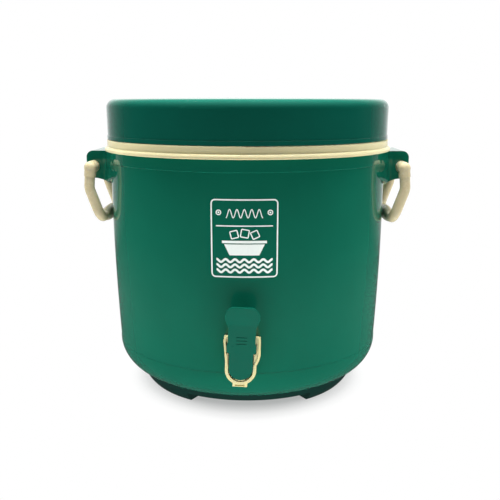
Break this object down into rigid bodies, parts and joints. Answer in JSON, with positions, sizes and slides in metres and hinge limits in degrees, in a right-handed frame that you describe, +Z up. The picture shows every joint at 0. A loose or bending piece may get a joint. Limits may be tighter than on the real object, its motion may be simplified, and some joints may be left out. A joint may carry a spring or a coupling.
{
  "type": "insulated drinks cooler",
  "caption": "Round insulated drinks cooler with a lift-off lid, swinging side bails and a sprung pull tap low on the front.",
  "frame": {"origin": "centre of the foot ring on the surface that the cooler stands on", "axes": "+Z up along the axis of the round body, -Y towards the tap, X from ear to ear"},
  "size_m": [0.3148, 0.2998, 0.2833],
  "materials": {
    "green_shell": "gloss",
    "green_lid": "gloss",
    "green_lever": "gloss",
    "green_base": "satin",
    "cream_plastic": "satin",
    "cream_tap": "satin",
    "liner_plastic": "satin",
    "foam": "matt, closed cell foam",
    "seal_rubber": "matt, food grade",
    "white_plastic": "satin",
    "steel": "plain"
  },
  "bodies": {
    "cooler": {"outer_shell": "green_shell", "inner_liner": "liner_plastic", "foam_jacket": "foam", "base": "green_base", "base_screws": "steel", "tap_body": "cream_tap", "tap_nut": "white_plastic", "inner_washer": "seal_rubber", "outer_washer": "seal_rubber"},
    "lid": {"lid_shell": "green_lid", "lid_liner": "liner_plastic", "lid_foam": "foam", "lid_gasket": "seal_rubber"},
    "left_handle": {"bail_left": "cream_plastic"},
    "right_handle": {"bail_right": "cream_plastic"},
    "lever": {"tap_lever": "green_lever"},
    "plunger": {"valve_stem": "white_plastic", "valve_seal": "seal_rubber", "stem_button": "white_plastic", "valve_spring": "steel"}
  },
  "joints": [
    {"name": "lid_lift", "type": "slide", "parent": "cooler", "child": "lid", "axis": [0, 0, 1], "range_m": [0, 0.15]},
    {"name": "left_bail_swing", "type": "hinge", "parent": "cooler", "child": "left_handle", "pos_m": [-0.1507, 0, 0.2173], "axis": [0, 1, 0], "range_deg": [0, 175]},
    {"name": "right_bail_swing", "type": "hinge", "parent": "cooler", "child": "right_handle", "pos_m": [0.1507, 0, 0.2173], "axis": [0, -1, 0], "range_deg": [0, 175]},
    {"name": "lever_pull", "type": "hinge", "parent": "cooler", "child": "lever", "pos_m": [-0.00165, -0.1463, 0.07398], "axis": [0.999, 0, -0.0436], "range_deg": [0, 16], "stiffness_Nm_per_rad": 0.4, "springref_deg": -20.05},
    {"name": "plunger_push", "type": "slide", "parent": "cooler", "child": "plunger", "axis": [0, 1, 0], "range_m": [0, 0.0056], "deforming": ["valve_spring"]}
  ],
  "couplings": [
    {"joint": "plunger_push", "follows": "lever_pull", "m_per_rad": 0.0195}
  ]
}
